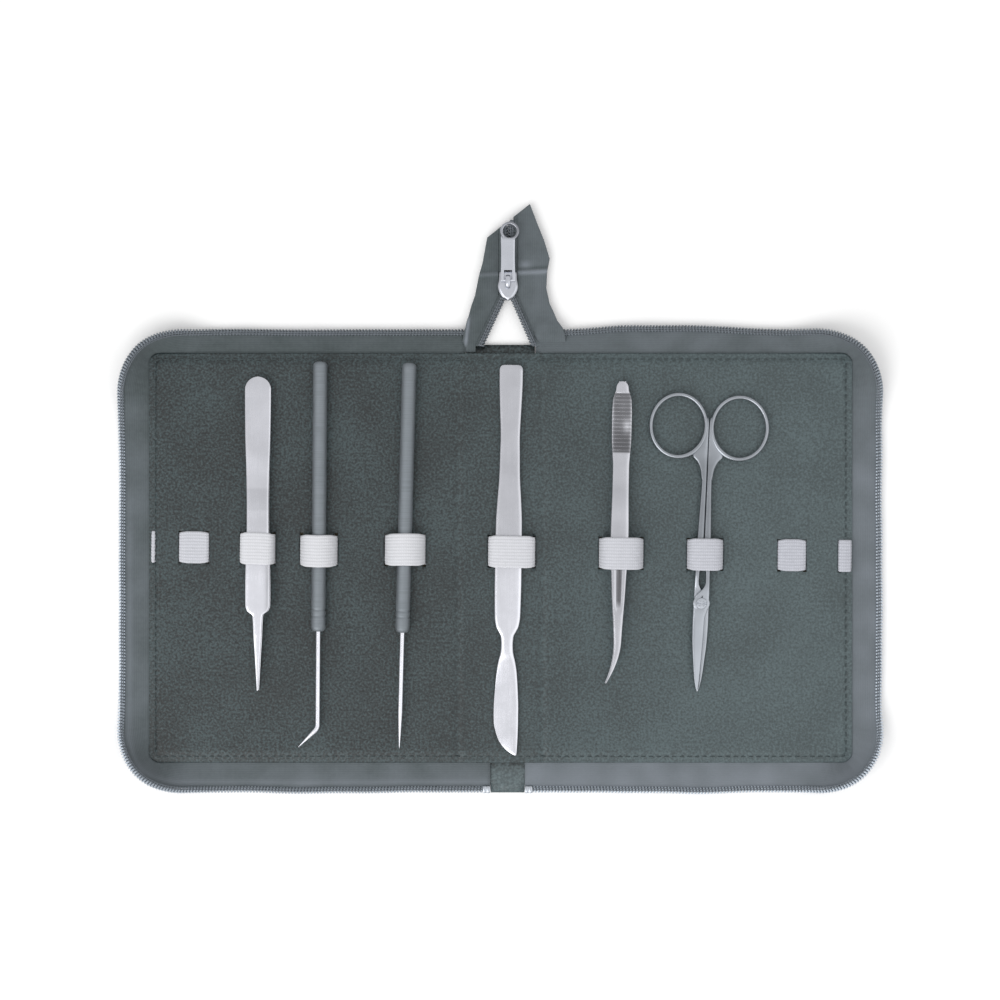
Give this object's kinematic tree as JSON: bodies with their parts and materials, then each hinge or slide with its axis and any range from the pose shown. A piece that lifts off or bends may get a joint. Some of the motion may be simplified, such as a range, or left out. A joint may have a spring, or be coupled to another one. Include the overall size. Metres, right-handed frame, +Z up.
{
  "type": "surgical instrument case",
  "caption": "Book-fold, zip-round leatherette case lying open, with an elastic band whose loops hold forceps, dissecting needles, a scalpel and scissors.",
  "frame": {"origin": "middle of the spine's underside, on the surface that the open case lies on", "axes": "+X towards the right cover, +Y towards the zip's loose tail, +Z up out of the lining"},
  "size_m": [0.2986, 0.2301, 0.0116],
  "materials": {
    "cover_leatherette": "grained leatherette, cool slate grey, low sheen",
    "lining_leatherette": "fine-grained lining, slate grey-green, matte",
    "stiffening_board": "grey paperboard, hidden inside the covers",
    "white_elastic": "woven elastic with lengthwise ribs, off-white",
    "zip_tape": "woven polyester tape, grey",
    "zip_coil": "nylon coil, mid grey with a soft sheen",
    "bright_plating": "cast zinc, nickel plated",
    "polished_steel": "stainless steel, satin to polished",
    "needle_steel": "drawn steel wire, ground to a point",
    "needle_handle_metal": "turned aluminium handle, dull grey"
  },
  "bodies": {
    "spine": {"spine_skin": "cover_leatherette", "spine_board": "stiffening_board", "spine_lining": "lining_leatherette", "spine_elastic": "white_elastic", "scalpel_loop": "white_elastic", "left_hinge_fold": "lining_leatherette", "right_hinge_fold": "lining_leatherette", "left_tail_tape": "zip_tape", "right_tail_tape": "zip_tape", "left_tail_teeth": "zip_coil", "right_tail_teeth": "zip_coil", "left_zip_end_tape": "zip_tape", "right_zip_end_tape": "zip_tape", "left_zip_end_teeth": "zip_coil", "right_zip_end_teeth": "zip_coil", "zip_end_stops": "bright_plating"},
    "left_cover": {"left_skin": "cover_leatherette", "left_board": "stiffening_board", "left_lining": "lining_leatherette", "left_elastic": "white_elastic", "left_zip_tape": "zip_tape", "left_zip_teeth": "zip_coil", "fine_forceps_loop": "white_elastic", "bent_needle_loop": "white_elastic", "straight_needle_loop": "white_elastic", "left_spare_loop": "white_elastic"},
    "right_cover": {"right_skin": "cover_leatherette", "right_board": "stiffening_board", "right_lining": "lining_leatherette", "right_elastic": "white_elastic", "right_zip_tape": "zip_tape", "right_zip_teeth": "zip_coil", "curved_forceps_loop": "white_elastic", "scissors_loop": "white_elastic", "right_spare_loop": "white_elastic"},
    "slider": {"slider_body": "bright_plating", "slider_bail": "bright_plating"},
    "puller": {"puller": "bright_plating"},
    "fine_forceps": {"fine_forceps_lower_arm": "polished_steel"},
    "fine_forceps_arm": {"fine_forceps_upper_arm": "polished_steel"},
    "bent_needle": {"bent_needle_handle": "needle_handle_metal", "bent_needle_steel": "needle_steel"},
    "straight_needle": {"straight_needle_handle": "needle_handle_metal", "straight_needle_steel": "needle_steel"},
    "scalpel": {"scalpel": "polished_steel"},
    "curved_forceps": {"curved_forceps_lower_arm": "polished_steel"},
    "curved_forceps_arm": {"curved_forceps_upper_arm": "polished_steel"},
    "scissors": {"scissors_lower_half": "polished_steel", "scissors_screw": "polished_steel"},
    "scissors_upper": {"scissors_upper_half": "polished_steel"}
  },
  "joints": [
    {"name": "left_cover_hinge", "type": "hinge", "parent": "spine", "child": "left_cover", "pos_m": [-0.0165, 0, 0.00045], "axis": [0, 1, 0], "range_deg": [0, 90], "deforming": ["left_hinge_fold", "left_tail_tape", "left_zip_end_tape", "left_zip_end_teeth"]},
    {"name": "right_cover_hinge", "type": "hinge", "parent": "spine", "child": "right_cover", "pos_m": [0.0165, 0, 0.00045], "axis": [0, -1, 0], "range_deg": [0, 90], "deforming": ["right_hinge_fold", "right_tail_tape", "right_zip_end_tape", "right_zip_end_teeth"]},
    {"name": "slider_run", "type": "slide", "parent": "spine", "child": "slider", "axis": [0, 1, 0], "range_m": [0, 0.01], "deforming": ["left_tail_teeth", "right_tail_teeth"]},
    {"name": "puller_swing", "type": "hinge", "parent": "slider", "child": "puller", "pos_m": [0.0029, 0.1093, 0.0052], "axis": [1, 0, 0], "range_deg": [0, 175]},
    {"name": "fine_forceps_slide", "type": "slide", "parent": "left_cover", "child": "fine_forceps", "axis": [0, 1, 0], "range_m": [0, 0.065]},
    {"name": "fine_forceps_squeeze", "type": "hinge", "parent": "fine_forceps", "child": "fine_forceps_arm", "pos_m": [-0.09535, 0.06383, 0.00525], "axis": [1, 0, 0], "range_deg": [0, 1.8], "stiffness_Nm_per_rad": 4, "springref_deg": -0.11},
    {"name": "bent_needle_slide", "type": "slide", "parent": "left_cover", "child": "bent_needle", "axis": [0, -1, 0], "range_m": [0, 0.082]},
    {"name": "straight_needle_slide", "type": "slide", "parent": "left_cover", "child": "straight_needle", "axis": [0.0209, 0.9998, 0], "range_m": [0, 0.086]},
    {"name": "scalpel_slide", "type": "slide", "parent": "spine", "child": "scalpel", "axis": [-0.0157, -0.9999, 0], "range_m": [0, 0.082]},
    {"name": "curved_forceps_slide", "type": "slide", "parent": "right_cover", "child": "curved_forceps", "axis": [0, 1, 0], "range_m": [0, 0.06]},
    {"name": "curved_forceps_squeeze", "type": "hinge", "parent": "curved_forceps", "child": "curved_forceps_arm", "pos_m": [0.04644, 0.06455, 0.00515], "axis": [1, 0, 0], "range_deg": [0, 1.8], "stiffness_Nm_per_rad": 3.5, "springref_deg": -0.11},
    {"name": "scissors_slide", "type": "slide", "parent": "right_cover", "child": "scissors", "axis": [0.0454, 0.999, 0], "range_m": [0, 0.075]},
    {"name": "scissors_open", "type": "hinge", "parent": "scissors", "child": "scissors_upper", "pos_m": [0.07812, -0.01638, 0.00543], "axis": [0, 0, -1], "range_deg": [0, 30], "deforming": ["scissors_loop"]}
  ]
}
